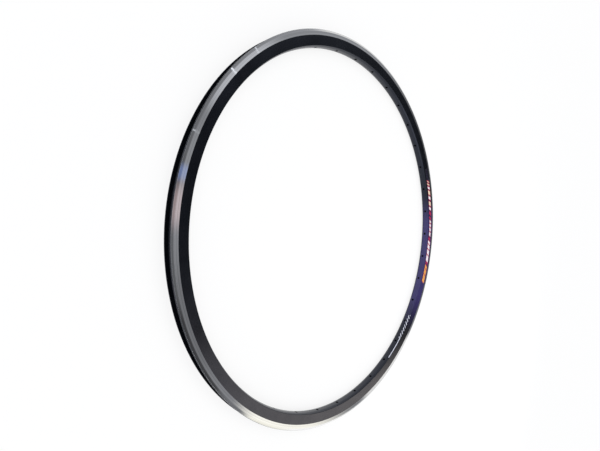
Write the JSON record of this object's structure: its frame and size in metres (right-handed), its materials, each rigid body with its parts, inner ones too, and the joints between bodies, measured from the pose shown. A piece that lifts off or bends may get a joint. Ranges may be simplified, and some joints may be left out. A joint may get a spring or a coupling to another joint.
{
  "type": "bicycle rim",
  "caption": "Black anodised alloy road bicycle rim with turned brake tracks, hooked tyre channel, hollow section and radial spoke holes.",
  "frame": {"origin": "centre of the hoop, on its mid-plane", "axes": "+Z along the hoop's axis, out of the side with the decal; +X towards the middle of the decal"},
  "size_m": [0.6339, 0.634, 0.0184],
  "materials": {
    "rim": "black anodised, with bare turned brake tracks",
    "decal": "printed vinyl film"
  },
  "bodies": {
    "root": {"rim": "rim", "decal": "decal"}
  },
  "joints": []
}
